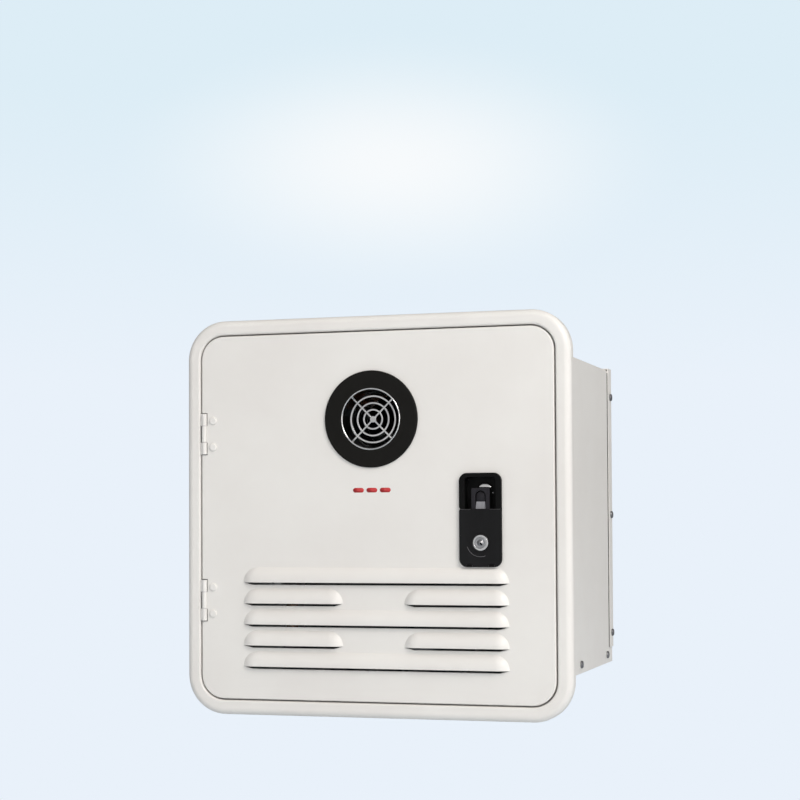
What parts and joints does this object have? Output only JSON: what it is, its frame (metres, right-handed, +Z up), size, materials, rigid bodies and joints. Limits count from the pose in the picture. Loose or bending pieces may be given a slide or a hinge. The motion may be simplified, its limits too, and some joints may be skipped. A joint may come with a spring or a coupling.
{
  "type": "caravan water heater",
  "caption": "Recessed tankless gas water heater with a rounded white wall frame, hinged louvred door, round flue outlet, paddle latch and steel case behind.",
  "frame": {"origin": "centre of the four side screws of the wall frame, in its back plane", "axes": "+X to the right of someone facing the door, +Y into the vehicle, +Z up"},
  "size_m": [0.381, 0.3863, 0.381],
  "materials": {
    "white_paint": "satin warm white paint",
    "zinc_steel": "zinc-plated sheet",
    "dark_screws": "dark zinc",
    "bright_steel": "polished",
    "black_coat": "satin black",
    "black_plastic": "fine texture",
    "grey_plastic": "matt",
    "light_grey_plastic": "matt",
    "black_rubber": "matt",
    "foam": "closed-cell foam",
    "copper": "bright copper, slightly tarnished",
    "brass": "machined",
    "aluminium": "die-cast",
    "coil_plastic": "moulded",
    "wheel_plastic": "moulded",
    "green_board": "coated circuit board",
    "ceramic": "glazed",
    "lever_steel": "bright"
  },
  "bodies": {
    "root": {"trim_frame": "white_paint", "wall_seal": "foam", "door_gasket": "black_rubber", "case_wrap": "white_paint", "case_floor": "zinc_steel", "rear_cover": "white_paint", "side_screws": "dark_screws", "hinge_leaves_case": "white_paint", "hinge_pins": "zinc_steel", "hinge_screws": "zinc_steel", "latch_striker": "zinc_steel", "burner_box": "zinc_steel", "burner_bars": "bright_steel", "gas_manifold": "brass", "spark_electrode": "ceramic", "flame_probe": "ceramic", "exchanger_core": "copper", "exchanger_bends": "copper", "flue_hood": "zinc_steel", "flue_pipe": "bright_steel", "flue_seal": "black_rubber", "fan_housing": "zinc_steel", "fan_motor": "black_plastic", "gas_valve": "aluminium", "valve_coils": "coil_plastic", "valve_bracket": "zinc_steel", "gas_pipe": "aluminium", "gas_inlet": "brass", "cold_pipe": "copper", "hot_pipe": "copper", "flow_sensor": "black_plastic", "cold_inlet": "brass", "hot_outlet": "brass", "relief_valve": "brass", "thermostats": "coil_plastic", "control_box": "light_grey_plastic", "control_lid": "light_grey_plastic", "control_board": "green_board", "cable_grommet": "black_rubber"},
    "door": {"door_panel": "white_paint", "hinge_leaves_door": "white_paint", "hinge_rivets": "white_paint", "vent_collar": "black_coat", "vent_backplate": "zinc_steel", "vent_sleeve": "bright_steel", "vent_grille": "bright_steel", "latch_body": "black_plastic", "paddle_pin": "zinc_steel", "latch_stud": "bright_steel"},
    "paddle": {"latch_paddle": "black_plastic", "latch_tongue": "grey_plastic"},
    "button": {"release_button": "light_grey_plastic"},
    "lock": {"lock_cylinder": "bright_steel", "lock_cam": "zinc_steel"},
    "bolt": {"latch_bolt": "zinc_steel"},
    "fan": {"fan_shaft": "zinc_steel", "fan_wheel": "wheel_plastic"},
    "switch": {"power_switch": "black_plastic"},
    "relief": {"relief_lever": "lever_steel"},
    "rotor": {"flow_rotor": "wheel_plastic"}
  },
  "joints": [
    {"name": "door_hinge", "type": "hinge", "parent": "root", "child": "door", "pos_m": [-0.1723, -0.0126, 0], "axis": [0, 0, -1], "range_deg": [0, 105]},
    {"name": "paddle_pivot", "type": "hinge", "parent": "door", "child": "paddle", "pos_m": [0.105, -0.0149, -0.0466], "axis": [1, 0, 0], "range_deg": [0, 38], "stiffness_Nm_per_rad": 0.02, "springref_deg": -17.19},
    {"name": "button_press", "type": "slide", "parent": "paddle", "child": "button", "axis": [0, 1, 0], "range_m": [0, 0.002], "stiffness_N_per_m": 120, "springref_m": -0.002},
    {"name": "lock_turn", "type": "hinge", "parent": "paddle", "child": "lock", "pos_m": [0.105, -0.01, -0.0253], "axis": [0, 1, 0], "range_deg": [0, 90]},
    {"name": "bolt_slide", "type": "slide", "parent": "door", "child": "bolt", "axis": [1, 0, 0], "range_m": [0, 0.007]},
    {"name": "fan_spin", "type": "hinge", "parent": "root", "child": "fan", "pos_m": [-0.0015, 0.14, -0.13], "axis": [0, 0, 1], "continuous": true},
    {"name": "switch_rock", "type": "hinge", "parent": "root", "child": "switch", "pos_m": [0.13835, 0.056, 0.06], "axis": [1, 0, 0], "range_deg": [-7, 7]},
    {"name": "relief_lift", "type": "hinge", "parent": "root", "child": "relief", "pos_m": [-0.122, 0.262, 0.0654], "axis": [1, 0, 0], "range_deg": [0, 80]},
    {"name": "rotor_spin", "type": "hinge", "parent": "root", "child": "rotor", "pos_m": [-0.122, 0.256, -0.125], "axis": [0, 1, 0], "continuous": true}
  ]
}
